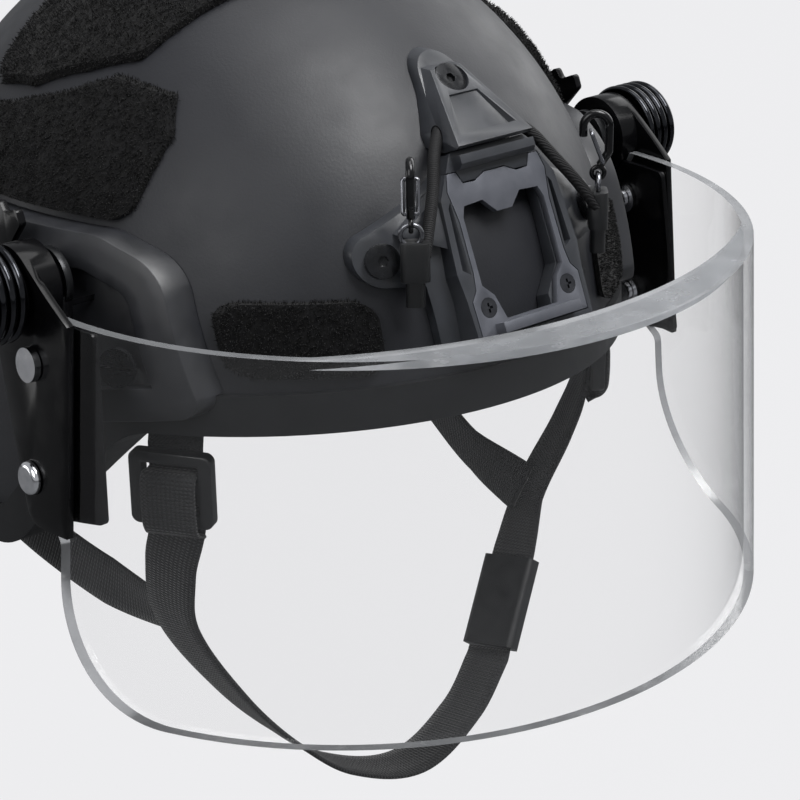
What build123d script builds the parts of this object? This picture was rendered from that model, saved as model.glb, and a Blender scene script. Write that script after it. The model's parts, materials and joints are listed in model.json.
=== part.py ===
# Ballistic police helmet with a clear riot visor on side rails, a front mount
# shroud with bungees, hook-and-loop panels, a pad liner and a four-point chin strap.
# Millimetres. +Z is up, -Y is the wearer's front, +X is the wearer's left.
# The origin is the centre of the shell at its widest section.
import os
from math import cos, pi, radians, sin, sqrt, tan

from build123d import *

os.makedirs("parts", exist_ok=True)

# General fits
seat_gap = 0.3
run_gap = 0.1
round_share = 1 / 3
overrun = 30.0
axis_x, axis_y, axis_z = Vector(1, 0, 0), Vector(0, 1, 0), Vector(0, 0, 1)

# Shell
half_width = 119.5
half_length = 140.0
crown_height = 137.0
shell_wall = 8.0
skirt_depth = 70.0
brim_front_z = 1.0
brim_back_y, brim_back_z = -68.0, -5.5
flap_front_y, flap_z = -14.0, -62.0
flap_back_y = 66.0
nape_z = -46.0
brim_bend, flap_bend, nape_bend = 22.0, 26.0, 40.0

# Edge trim
trim_width = 12.0
trim_outer, trim_inner, trim_lip = 2.5, 1.5, 1.8

# Hook-and-loop panels
loop_thick = 2.2
loop_corner = 7.0
front_loop_inner_x, front_loop_outer_x = 48.0, 87.0
front_loop_low_z, front_loop_high_z = 14.5, 38.0

# Side rails
rail_thick, rail_base_thick = 9.0, 5.0
rail_front_y, rail_rear_y = -98.0, 108.0
rail_foot_length = 44.0
rail_low_z, rail_foot_low_z = 3.0, -4.5
rail_arch_z = 20.0
rail_shoulder_z, rail_top_z = 49.0, 57.0
rail_shoulder_in, rail_top_in = 17.0, 40.0
rail_band = 11.0
rail_rise_in, rail_bend, rail_corner = 10.0, 22.0, 6.0

# Rail screws and nuts
rail_screw_y, rail_screw_z = -73.0, 17.5
rail_screw_head_r, rail_screw_head_h = 6.5, 2.6
rail_screw_shank_r = 2.5
rail_slot_cut = 1.2
rail_nut_r, rail_nut_h = 5.0, 3.0

# Visor
visor_radius = 131.6
visor_centre_y = -63.5
visor_thick = 3.5
visor_top_z = 38.0
visor_height = 128.0
visor_flare_share = 0.09
visor_back_share = 0.07
visor_rear_y, visor_skirt_y = -57.0, -73.0
visor_tab_low_z = -24.0
visor_corner = 42.0
visor_skirt_drop = 11.0
brow_depth, brow_half, brow_thick = 14.5, 100.0, 4.0

# Visor arms
arm_thick, inner_arm_thick = 2.5, 2.0
hinge_y, hinge_z = -49.0, 43.0
hub_radius = 14.5
arm_front_y, arm_low_z = -79.5, -32.0
arm_low_rear_y = -58.0
arm_rear_y, arm_rear_z = -44.0, 12.0
arm_low_corner = 8.0
drum_depth = 7.5
inner_top_ahead, inner_low_ahead = 3.5, 8.5
inner_top_drop, inner_low_rise, inner_rear_in = 3.0, 5.0, 6.0

# Rivets
rivet_y, rivet_high_z, rivet_pitch = -61.5, 21.5, 38.0
rivet_r, rivet_head_r, rivet_head_h = 2.4, 5.6, 2.4
washer_r, washer_h = 6.2, 1.2
nut_r, nut_h = 4.0, 2.6
rivet_dome_share = 0.8

# Hinge
pin_r, pin_disc_r, pin_disc_h = 4.0, 10.5, 2.6
pin_inner_x = 117.5
boss_r = 9.0
core_r = 12.9
cap_r, cap_h = 11.0, 2.0
pin_head_r, pin_head_h = 6.5, 4.0
spring_wire_r, spring_mean_r, spring_turns, spring_pitch = 1.5, 14.8, 4, 3.5
spring_leg = 9.0

# Rail adapter
adapter_outer_x, adapter_inner_x = 121.5, 104.0
adapter_front_y, adapter_rear_y = -58.5, -22.0
adapter_low_z, adapter_top_z = 17.0, 39.6
flange_thick, web_front_y = 3.6, -46.0
lever_thick = 2.6
lever_pivot_y, lever_pivot_z, lever_pivot_r = -26.5, 45.5, 2.0
lever_base, lever_corner, lever_pin_h = 9.0, 1.5, 1.0
lever_outline = [
    (-31, 42), (-22, 42), (-15, 50), (-17, 55), (-29, 66), (-32, 62), (-39, 65), (-41, 60), (-32, 50),
]

# Front shroud
shroud_lug_x, shroud_lug_z, shroud_lug_r = 44.5, 49.8, 8.0
shroud_top_z, shroud_top_r = 96.0, 9.0
shroud_lug_thick, gusset_thick = 3.4, 7.0
shroud_foot_y, shroud_foot_z, shroud_tilt = 148.0, 24.5, 23.3
wing_root_x, wing_low_z, wing_high_z = 18.0, 40.0, 71.0
frame_corner = 2.0
frame_half = [(0, -3), (24.5, -3), (25.2, 14), (26.2, 22), (24.5, 46), (16, 60), (0, 60)]
skirt_half = [(0, 20), (31, 20), (33, 42), (24, 62), (0, 62)]
gusset = [(20, 71), (39, 57.5), (20, 50)]
hood_half = [(0, 78), (16.2, 78), (15.9, 82.6), (6.5, 101), (0, 101)]
hood_profile = [(-128.7, 82.6), (-127.6, 81.2), (-122, 79), (-90, 79), (-90, 106), (-104, 101.5)]
shelf_half, shelf_low, shelf_height, shelf_out = 15.9, 54.0, 4.3, 4.5
screw_head_r, screw_head_h, screw_shank_r, screw_socket_r = 5.6, 3.0, 2.4, 1.8
insert_thick, insert_gap, insert_corner = 2.4, 0.35, 0.5
insert_half = [
    (0, 51.4), (4.3, 51.5), (9, 49.4), (14, 49.6), (15.7, 53.5), (19.5, 53.5), (21, 48),
    (19.4, 38), (19.6, 21), (20.5, 15.5), (23, 12.5), (22.8, 0), (0, 0),
]
insert_opening = [
    (0, 38.3), (3.2, 38.3), (8, 43), (16, 42.5), (17.5, 39), (17.6, 16.7), (13.7, 12.8), (11, 4.5), (0, 4.5),
]
window_half = [(0, 50), (15, 50), (17, 42), (17, 17), (10.5, 8), (10.5, 4), (0, 4)]
side_pocket = [(20.6, 21), (23.6, 23), (22.4, 43), (21, 45)]
side_pocket_depth = 5.0
insert_screw_u, insert_screw_v = 17.3, 9.4
insert_screw_r, insert_screw_h = 3.2, 1.6
insert_shank_r, insert_shank = 1.2, 4.0
ledge_half, ledge_low, ledge_height, ledge_out = 16.7, 0.4, 3.4, 4.5

# Bungees
cord_r, cord_bend_share = 2.0, 0.45
cord_route = [
    (11, -114, 85), (19.5, -121, 82), (26, -128, 71), (32, -133, 62.5), (37.6, -136.9, 53),
]
sleeve_width, sleeve_deep, sleeve_top_length = 9.4, 6.4, 12.6
sleeve_low_width, sleeve_low_deep, sleeve_low_length = 6.2, 5.0, 8.4
near_sleeve, near_across, near_facing = (-39.9, -135, 58), (0.766, -0.643, 0), (-0.643, -0.766, 0)
far_sleeve, far_across, far_facing = (39.9, -135, 58), (-0.643, -0.766, 0), (0.766, -0.643, 0)
ring_r, ring_wire_r, ring_shift, ring_lift = 3.4, 0.8, 1.2, 2.2
eye_r, eye_wire_r = 2.1, 0.8
hook_wire_r = 1.4
hook_spine = [(0.6, 2.6), (3.4, 7), (3.6, 20), (-5, 20), (-5, 12.6)]
hook_bends = [2.0, 4.2, 4.2]
gate_wire_r, gate_half = 0.7, 2.4
gate_pivot, gate_tip = (1.4, 3.9), (-2.4, 14.0)

# Liner pads
pad_thick, pad_round, pad_corner = 19.0, 4.0, 8.0
crown_pad_r = 50.0
side_pad_length, side_pad_height, side_pad_z = 56.0, 52.0, 26.0
fore_pad_y, aft_pad_y = -28.0, 36.0
end_pad_width, end_pad_height = 66.0, 46.0
front_pad_z, rear_pad_z = 40.0, 27.0

# Straps, each station a point and the direction of the webbing's width
web_width, web_thick = 19.5, 1.8
strap_seat = 1.65
front_stations = [
    ((-88.8, -72.4, 26.4), (0.5, -0.866, 0)), ((-90.4, -73.4, 11.6), (0.5, -0.866, 0)),
    ((-89.5, -71.1, 5), (0.5, -0.866, 0)), ((-89.4, -71.1, -9), (0.5, -0.866, 0)),
    ((-92.5, -74.4, -15.5), (0.53, -0.85, 0)), ((-92.5, -74.4, -40), (0.53, -0.85, 0)),
    ((-91.5, -66, -62), (0.4, -0.92, 0)), ((-83.5, -56.5, -90), (0.25, -0.97, 0)),
]
chin_stations = [
    ((-66, -62, -121), (0.1, -0.99, 0)), ((-50, -70, -141), (0, -1, 0)), ((-30, -76, -158), (0, -1, 0)),
    ((0, -80, -167), (0, -1, 0)), ((30, -76, -158), (0, -1, 0)), ((47.7, -71.1, -144.1), (0.1, -0.99, 0)),
    ((50, -70, -141), (0.1, -0.99, 0)),
]
front_end = [((-72.8, -59.5, -109.9), (-0.1, -0.99, 0)), ((-70.5, -60.6, -113), (-0.1, -0.99, 0))]
rear_stations = [
    ((-82.4, 82.3, 26.4), (-0.577, -0.816, 0)), ((-83.9, 83.4, 11.6), (-0.577, -0.816, 0)),
    ((-88.4, 74.3, -8), (-0.44, -0.74, 0.5)), ((-95.5, 60.6, -32), (-0.33, -0.74, 0.58)),
    ((-101, 45, -52), (-0.234, -0.744, 0.62)), ((-97, 26, -68.5), (0.1, -0.5, 0.86)),
    ((-93, 8, -77), (0.1, -0.3, 0.95)), ((-87, -20, -85.5), (0.1, -0.25, 0.95)),
    ((-81.6, -54.1, -89), (-0.47, 0.15, 0.87)),
]
nape_stations = [
    ((-93.5, 59.2, -33), (0, 0, 1)), ((-84, 76, -31), (0, 0, 1)), ((-48, 114, -30), (0, 0, 1)),
    ((0, 125, -30), (0, 0, 1)), ((48, 114, -30), (0, 0, 1)), ((84, 76, -31), (0, 0, 1)),
    ((93.5, 59.2, -33), (0, 0, 1)),
]
adjuster_width, adjuster_height, adjuster_thick, adjuster_corner = 29.0, 26.0, 5.0, 3.0
adjuster_slot_share = 0.2
adjuster_at, adjuster_across, adjuster_out = (-93.6, -75.1, -28), (0.53, -0.848, 0), (-0.848, -0.53, 0)
buckle_width, buckle_thick, buckle_plug_share = 23.0, 7.0, 0.4
buckle_across = (0.1, -0.99, 0)


def save(builder, name):
    builder.part.label = name
    export_step(builder.part, f"parts/{name}.step")


def dome(grow, depth=skirt_depth):
    # Half an ellipsoid over an upright elliptical wall, grown evenly from the shell's outside
    with BuildPart() as body:
        Sphere(1)
        scale(by=(half_width + grow, half_length + grow, crown_height + grow))
        split(bisect_by=Plane.XY, keep=Keep.TOP)
        with BuildSketch(Plane.XY):
            Ellipse(half_width + grow, half_length + grow)
        extrude(amount=-depth)
    return body.part


def skin(low, high):
    # The layer between two distances from the shell's outside
    with BuildPart() as layer:
        add(dome(high))
        add(dome(low, skirt_depth + overrun), mode=Mode.SUBTRACT)
    return layer.part


def above_edge(inset):
    # Everything above the shell's lower edge, seen from the side and drawn in by inset
    reach = half_length + overrun
    top = crown_height + overrun
    with BuildPart() as block:
        with BuildSketch(Plane.YZ):
            with BuildLine():
                edge = FilletPolyline(
                    (-reach, brim_front_z), (brim_back_y, brim_back_z), (flap_front_y, flap_z),
                    (flap_back_y, flap_z), (reach, nape_z),
                    radius=[brim_bend, flap_bend, nape_bend],
                )
                Polyline(edge @ 1, (reach, top), (-reach, top), edge @ 0)
            make_face()
            offset(amount=-inset, kind=Kind.INTERSECTION)
        extrude(amount=half_width + overrun, both=True)
    return block.part


def mirrored(piece):
    with BuildPart() as twin:
        mirror(piece, about=Plane.YZ)
    return twin


def side_point(y, z, grow):
    # Half width of the dome at a place seen from the side
    rise = max(z, 0) / (crown_height + grow)
    return (half_width + grow) * sqrt(1 - (y / (half_length + grow)) ** 2 - rise**2)


def dome_plane(y, z, grow, side=-1):
    # A plane lying on the dome at a place seen from the side, facing outward
    x = side * side_point(y, z, grow)
    lean = Vector(
        x / (half_width + grow) ** 2, y / (half_length + grow) ** 2, max(z, 0) / (crown_height + grow) ** 2
    )
    return Plane(origin=(x, y, z), x_dir=axis_z.cross(lean), z_dir=lean)


def front_plane(x, z, grow):
    # A plane lying on the dome at a place seen from the front, facing outward
    y = -(half_length + grow) * sqrt(
        1 - (x / (half_width + grow)) ** 2 - (z / (crown_height + grow)) ** 2
    )
    lean = Vector(
        x / (half_width + grow) ** 2, y / (half_length + grow) ** 2, z / (crown_height + grow) ** 2
    )
    return Plane(origin=(x, y, z), x_dir=axis_z.cross(lean), z_dir=lean)


rail_screw_ys = (rail_screw_y, rail_front_y + rail_rear_y - rail_screw_y)
rail_screw_planes = [
    dome_plane(y, rail_screw_z, rail_thick, side) for y in rail_screw_ys for side in (-1, 1)
]
shroud_screw_planes = [
    front_plane(-shroud_lug_x, shroud_lug_z, shroud_lug_thick + seat_gap),
    front_plane(shroud_lug_x, shroud_lug_z, shroud_lug_thick + seat_gap),
    front_plane(0, shroud_top_z, shroud_lug_thick + seat_gap),
]

# Shell and its edge trim
shell_layer = skin(-shell_wall, 0)
with BuildPart() as shell:
    add(shell_layer)
    add(above_edge(0), mode=Mode.INTERSECT)
    with BuildSketch(*rail_screw_planes):
        Circle(rail_screw_shank_r + run_gap)
    extrude(amount=-overrun, mode=Mode.SUBTRACT)
    with BuildSketch(*shroud_screw_planes):
        Circle(screw_shank_r + run_gap)
    extrude(amount=-overrun, mode=Mode.SUBTRACT)
save(shell, "shell")

with BuildPart() as trim_channel:
    add(skin(-shell_wall - seat_gap, seat_gap))
    add(above_edge(-seat_gap), mode=Mode.INTERSECT)

with BuildPart() as edge_trim:
    add(skin(-shell_wall - trim_inner, trim_outer))
    add(above_edge(-trim_lip), mode=Mode.INTERSECT)
    add(above_edge(trim_width), mode=Mode.SUBTRACT)
    add(trim_channel.part, mode=Mode.SUBTRACT)
save(edge_trim, "edge_trim")

# Hook-and-loop panels
loop_layer = skin(seat_gap, seat_gap + loop_thick)

with BuildPart() as front_loop_right:
    add(loop_layer)
    with BuildSketch(Plane.XZ):
        with Locations((-(front_loop_inner_x + front_loop_outer_x) / 2,
                        (front_loop_low_z + front_loop_high_z) / 2)):
            RectangleRounded(front_loop_outer_x - front_loop_inner_x,
                             front_loop_high_z - front_loop_low_z, loop_corner)
    extrude(amount=half_length + overrun, mode=Mode.INTERSECT)
save(front_loop_right, "front_loop_right")
front_loop_left = mirrored(front_loop_right.part)
save(front_loop_left, "front_loop_left")

# Outline shares of the shell's half length and crown height, seen from the side
side_loop_shares = [
    (-0.43, 0.435), (-0.445, 0.62), (-0.4, 0.7), (-0.245, 0.725),
    (-0.11, 0.67), (0.09, 0.615), (0.46, 0.6), (0.46, 0.435),
]
with BuildPart() as side_loop_right:
    add(loop_layer)
    with BuildSketch(Plane.YZ):
        Polygon(*[(y * half_length, z * crown_height) for y, z in side_loop_shares], align=None)
        fillet(vertices().sort_by(Axis.Y)[:3], loop_corner)
    extrude(amount=-half_width - overrun, mode=Mode.INTERSECT)
save(side_loop_right, "side_loop_right")
side_loop_left = mirrored(side_loop_right.part)
save(side_loop_left, "side_loop_left")

# Outline shares of the shell's half width and half length, seen from above
crown_loop_shares = [
    (0.755, 0.19), (0.75, 0.0), (0.68, -0.15), (0.6, -0.27), (0.3, -0.34),
    (-0.3, -0.34), (-0.6, -0.27), (-0.68, -0.15), (-0.75, 0.0), (-0.755, 0.19),
    (-0.56, 0.17), (-0.42, 0.02), (-0.2, -0.06),
    (0.2, -0.06), (0.42, 0.02), (0.56, 0.17),
]
with BuildPart() as crown_loop:
    add(loop_layer)
    with BuildSketch(Plane.XY):
        Polygon(*[(x * half_width, y * half_length) for x, y in crown_loop_shares], align=None)
        fillet(vertices(), loop_corner)
    extrude(amount=crown_height + overrun, mode=Mode.INTERSECT)
save(crown_loop, "crown_loop")

# Outline shares of the shell's half width and crown height, seen from behind
rear_loop_shares = [(-0.4, 0.16), (-0.33, 0.56), (0.33, 0.56), (0.4, 0.16)]
with BuildPart() as rear_loop:
    add(loop_layer)
    with BuildSketch(Plane.XZ):
        Polygon(*[(x * half_width, z * crown_height) for x, z in rear_loop_shares], align=None)
        fillet(vertices(), loop_corner)
    extrude(amount=-half_length - overrun, mode=Mode.INTERSECT)
save(rear_loop, "rear_loop")

# Side rails
rail_middle_y = (rail_front_y + rail_rear_y) / 2


def rail_outline(inset):
    # The arched outline of a rail, symmetric about its middle, drawn in by inset
    front = [
        (rail_middle_y, rail_top_z), (rail_front_y + rail_top_in, rail_top_z),
        (rail_front_y + rail_shoulder_in, rail_shoulder_z), (rail_front_y, rail_low_z),
        (rail_front_y + rail_foot_length, rail_foot_low_z),
        (rail_front_y + rail_foot_length + rail_rise_in, rail_arch_z), (rail_middle_y, rail_arch_z),
    ]
    with BuildSketch(Plane.YZ) as outline:
        with BuildLine():
            edge = FilletPolyline(
                *front, radius=[rail_bend, rail_bend, rail_corner, rail_corner, rail_bend / 2]
            )
            mirror(edge, about=Plane.YZ.offset(rail_middle_y))
        make_face()
        if inset:
            offset(amount=-inset, kind=Kind.INTERSECTION)
    return outline.sketch


side_reach = half_width + overrun
trim_clear = skin(0, trim_outer + seat_gap)

with BuildPart() as trim_room:
    add(trim_clear)
    add(above_edge(trim_width + seat_gap), mode=Mode.SUBTRACT)

with BuildPart() as rail_rim:
    add(skin(rail_base_thick, rail_thick))
    extrude(rail_outline(0), amount=-side_reach, mode=Mode.INTERSECT)
    extrude(rail_outline(rail_band), amount=-side_reach, mode=Mode.SUBTRACT)

with BuildPart() as side_rail_right:
    add(skin(seat_gap, rail_base_thick))
    extrude(rail_outline(0), amount=-side_reach, mode=Mode.INTERSECT)
    add(rail_rim.part)
    add(trim_room.part, mode=Mode.SUBTRACT)
    with BuildSketch(*rail_screw_planes[::2]):
        Circle(rail_screw_head_r + seat_gap)
    extrude(amount=rail_thick, mode=Mode.SUBTRACT)
    with BuildSketch(*rail_screw_planes[::2]):
        Circle(rail_screw_shank_r + run_gap)
    extrude(amount=-overrun, mode=Mode.SUBTRACT)
save(side_rail_right, "side_rail_right")
side_rail_left = mirrored(side_rail_right.part)
save(side_rail_left, "side_rail_left")

# Rail screws
with BuildPart() as rail_screws:
    with BuildSketch(*rail_screw_planes):
        Circle(rail_screw_head_r)
    extrude(amount=rail_screw_head_h)
    rims = edges().filter_by(GeomType.CIRCLE).filter_by(lambda e: e.length > rail_screw_head_r)
    fillet(rims[: len(rail_screw_planes) * 2 : 2], rail_screw_head_h * round_share)
    with BuildSketch(*rail_screw_planes):
        Rectangle(rail_screw_head_r * 2, rail_slot_cut)
    extrude(amount=rail_screw_head_h, mode=Mode.SUBTRACT)
    with BuildSketch(*rail_screw_planes):
        Circle(rail_screw_shank_r)
    extrude(amount=-(rail_thick + shell_wall + strap_seat * 2 + rail_nut_h))
save(rail_screws, "rail_screws")

# Visor sheet: a round front that flares slightly downward, with flat sides
visor_low_z = visor_top_z - visor_height


def visor_block(grow, rear):
    # The solid inside a surface that lies grow outside the visor sheet's outer face
    with BuildPart() as block:
        for drop in (0, visor_height):
            radius = visor_radius + grow + visor_flare_share * drop
            centre = visor_centre_y + visor_back_share * drop
            with BuildSketch(Plane.XY.offset(visor_top_z - drop)):
                with BuildLine():
                    Line((radius, rear), (radius, centre))
                    ThreePointArc((radius, centre), (0, centre - radius), (-radius, centre))
                    Polyline((-radius, centre), (-radius, rear), (radius, rear))
                make_face()
        loft(ruled=True)
        extrude(faces().sort_by(Axis.Z)[-1], amount=overrun)
    return block.part


def visor_wall(low, high):
    with BuildPart() as wall:
        add(visor_block(high, 0))
        add(visor_block(low, overrun), mode=Mode.SUBTRACT)
    return wall.part


def visor_plane(y, z, grow, side=-1):
    # A plane lying on a flat side of the visor, facing outward
    reach = visor_radius + grow + visor_flare_share * (visor_top_z - z)
    return Plane(origin=(side * reach, y, z), x_dir=axis_y, z_dir=(side, 0, visor_flare_share))


rivet_places = [(rivet_y, rivet_high_z - step * rivet_pitch, side) for step in (0, 1) for side in (-1, 1)]


def rivet_planes(rise):
    return [visor_plane(y, z, 0, side).offset(rise) for y, z, side in rivet_places]


def hinge_plane(x):
    # A plane square to the hinge line on the wearer's right
    return Plane(origin=(-x, hinge_y, hinge_z), x_dir=-axis_y, z_dir=-axis_x)


with BuildPart() as visor_lens:
    add(visor_wall(-visor_thick, 0))
    with BuildSketch(Plane.YZ):
        with BuildLine():
            edge = FilletPolyline(
                (visor_rear_y, visor_top_z), (visor_rear_y, visor_tab_low_z),
                (visor_skirt_y, visor_tab_low_z - visor_skirt_drop), (visor_skirt_y, visor_low_z),
                (visor_centre_y - visor_radius - overrun, visor_low_z),
                radius=[arm_low_corner / 2, arm_low_corner / 2, visor_corner],
            )
            Polyline(edge @ 1, (visor_centre_y - visor_radius - overrun, visor_top_z), edge @ 0)
        make_face()
    extrude(amount=visor_radius + overrun, both=True, mode=Mode.INTERSECT)
    with BuildSketch(Plane.XY.offset(visor_top_z)):
        with BuildLine():
            rim = visor_radius - visor_thick / 2
            end_y = visor_centre_y - sqrt(rim**2 - brow_half**2)
            ThreePointArc((-brow_half, end_y), (0, visor_centre_y - rim), (brow_half, end_y))
            ThreePointArc(
                (brow_half, end_y), (0, visor_centre_y - rim + brow_depth), (-brow_half, end_y)
            )
        make_face()
    extrude(amount=-brow_thick)
    with BuildSketch(hinge_plane(0)):
        Circle(hub_radius + seat_gap)
    extrude(amount=visor_radius + overrun, both=True, mode=Mode.SUBTRACT)
    with BuildSketch(*rivet_planes(overrun)):
        Circle(rivet_r + run_gap)
    extrude(amount=-overrun * 2, mode=Mode.SUBTRACT)
save(visor_lens, "visor_lens")

# Visor arms: a shaped plate outside the sheet with a drum round the hinge
plate_out = visor_radius + seat_gap + arm_thick
with BuildPart() as visor_arm_right:
    add(visor_wall(seat_gap, seat_gap + arm_thick))
    with BuildSketch(Plane.YZ):
        with BuildLine():
            CenterArc((hinge_y, hinge_z), hub_radius, 0, 360)
            CenterArc((arm_low_rear_y - arm_low_corner, arm_low_z + arm_low_corner), arm_low_corner, 0, 360)
            Line((arm_front_y, visor_top_z), (arm_front_y, arm_low_z))
        make_hull()
    extrude(amount=-visor_radius - overrun, mode=Mode.INTERSECT)
    with BuildSketch(hinge_plane(visor_radius - drum_depth)):
        Circle(hub_radius)
    extrude(amount=drum_depth + seat_gap + arm_thick)
    with BuildSketch(hinge_plane(0)):
        Circle(pin_r + run_gap)
    extrude(amount=visor_radius + overrun, mode=Mode.SUBTRACT)
    with BuildSketch(*rivet_planes(overrun)[::2]):
        Circle(rivet_r + run_gap)
    extrude(amount=-overrun * 2, mode=Mode.SUBTRACT)
save(visor_arm_right, "visor_arm_right")
visor_arm_left = mirrored(visor_arm_right.part)
save(visor_arm_left, "visor_arm_left")

inner_face = -visor_thick - seat_gap - inner_arm_thick
with BuildPart() as inner_arm_right:
    add(visor_wall(inner_face, -visor_thick - seat_gap))
    with BuildSketch(Plane.YZ):
        with BuildLine():
            Polyline(
                (arm_front_y - inner_top_ahead, visor_top_z - inner_top_drop),
                (arm_front_y - inner_low_ahead, arm_low_z + inner_low_rise),
                (arm_low_rear_y, arm_low_z), (arm_rear_y - inner_rear_in, arm_rear_z),
                (arm_rear_y - inner_rear_in, visor_top_z - inner_top_drop),
                close=True,
            )
        make_face()
        fillet(vertices(), arm_low_corner / 4)
    extrude(amount=-visor_radius - overrun, mode=Mode.INTERSECT)
    with BuildSketch(hinge_plane(0)):
        Circle(hub_radius + seat_gap)
    extrude(amount=visor_radius + overrun, mode=Mode.SUBTRACT)
    with BuildSketch(*rivet_planes(overrun)[::2]):
        Circle(rivet_r + run_gap)
    extrude(amount=-overrun * 2, mode=Mode.SUBTRACT)
save(inner_arm_right, "inner_arm_right")
inner_arm_left = mirrored(inner_arm_right.part)
save(inner_arm_left, "inner_arm_left")

# Rivets, washers and nuts that clamp the sheet between the plates
stack_in = -inner_face + seat_gap
with BuildPart() as rivets:
    with BuildSketch(*rivet_planes(seat_gap * 2 + arm_thick)):
        Circle(rivet_head_r)
    extrude(amount=rivet_head_h)
    fillet(edges().filter_by(lambda e: abs(e.length - 2 * pi * rivet_head_r) < run_gap).group_by(
        SortBy.DISTANCE)[-1], rivet_head_h * rivet_dome_share)
    with BuildSketch(*rivet_planes(seat_gap * 2 + arm_thick)):
        Circle(rivet_r)
    extrude(amount=-(arm_thick + seat_gap * 2 + stack_in + washer_h + nut_h))
save(rivets, "rivets")

with BuildPart() as rivet_washers:
    with BuildSketch(*rivet_planes(-stack_in)):
        Circle(washer_r)
        Circle(rivet_r + run_gap, mode=Mode.SUBTRACT)
    extrude(amount=-washer_h)
save(rivet_washers, "rivet_washers")

with BuildPart() as rivet_nuts:
    with BuildSketch(*rivet_planes(-stack_in - washer_h - seat_gap)):
        Circle(nut_r)
        Circle(rivet_r + run_gap, mode=Mode.SUBTRACT)
    extrude(amount=-nut_h)
save(rivet_nuts, "rivet_nuts")

# Hinge: pin, spring core, torsion spring and cap on each side
core_inner_x = plate_out + visor_flare_share * (visor_top_z - hinge_z + spring_mean_r + spring_wire_r)
core_length = spring_pitch * spring_turns + spring_wire_r * 2 + seat_gap * 2
with BuildPart() as hinge_pin_right:
    with BuildSketch(hinge_plane(pin_inner_x)):
        Circle(pin_disc_r)
    extrude(amount=pin_disc_h)
    with BuildSketch(hinge_plane(pin_inner_x)):
        Circle(pin_r)
    extrude(amount=core_inner_x - pin_inner_x + core_length + cap_h + seat_gap)
    with BuildSketch(hinge_plane(core_inner_x + core_length + cap_h + seat_gap)):
        RegularPolygon(pin_head_r, 6)
    extrude(amount=pin_head_h)
save(hinge_pin_right, "hinge_pin_right")
hinge_pin_left = mirrored(hinge_pin_right.part)
save(hinge_pin_left, "hinge_pin_left")

with BuildPart() as spring_core_right:
    with BuildSketch(hinge_plane(core_inner_x)):
        Circle(core_r)
    extrude(amount=core_length)
    with BuildSketch(hinge_plane(core_inner_x + core_length)):
        Circle(cap_r)
    extrude(amount=cap_h)
    with BuildSketch(hinge_plane(core_inner_x)):
        Circle(pin_r + run_gap)
    extrude(amount=core_length + cap_h, mode=Mode.SUBTRACT)
save(spring_core_right, "spring_core_right")
save(mirrored(spring_core_right.part), "spring_core_left")


def spring_place(turn):
    # Centre of the wire after a number of turns, and its direction there
    angle = 2 * pi * turn
    x = -(core_inner_x + seat_gap + spring_wire_r + spring_pitch * turn)
    place = Vector(x, hinge_y + spring_mean_r * cos(angle), hinge_z + spring_mean_r * sin(angle))
    run = Vector(-spring_pitch / (2 * pi), -spring_mean_r * sin(angle), spring_mean_r * cos(angle))
    return place, run.normalized()


half_turns = 2 * spring_turns
with BuildPart() as hinge_spring_right:
    with BuildLine() as spring_path:
        first, first_run = spring_place(0)
        Line(first - first_run * spring_leg, first)
        for step in range(half_turns):
            start, start_run = spring_place(step / 2)
            end, end_run = spring_place((step + 1) / 2)
            span, both = end - start, start_run + end_run
            spread = 2 * (1 - start_run.dot(end_run))
            reach = (sqrt(span.dot(both) ** 2 + spread * span.dot(span)) - span.dot(both)) / spread
            middle = (start + end + (start_run - end_run) * reach) / 2
            middle_run = (end - end_run * reach - start - start_run * reach).normalized()
            TangentArc(start, middle, tangent=start_run)
            TangentArc(middle, end, tangent=middle_run)
        last, last_run = spring_place(spring_turns)
        Line(last, last + last_run * spring_leg)
    with BuildSketch(Plane(origin=spring_path.line @ 0, z_dir=first_run)):
        Circle(spring_wire_r)
    sweep(path=spring_path.line)
print("spring turns clear each other by", spring_pitch - 2 * spring_wire_r)
save(hinge_spring_right, "hinge_spring_right")
hinge_spring_left = mirrored(hinge_spring_right.part)
save(hinge_spring_left, "hinge_spring_left")

# Rail adapter: a block on the rail with a tee flange and the hinge boss
with BuildPart() as adapter_seat:
    add(dome(rail_base_thick + seat_gap))
with BuildPart() as adapter_rim_room:
    add(skin(0, rail_thick + seat_gap))
    extrude(rail_outline(-seat_gap), amount=-side_reach, mode=Mode.INTERSECT)
    extrude(rail_outline(rail_band + seat_gap), amount=-side_reach, mode=Mode.SUBTRACT)

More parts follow.
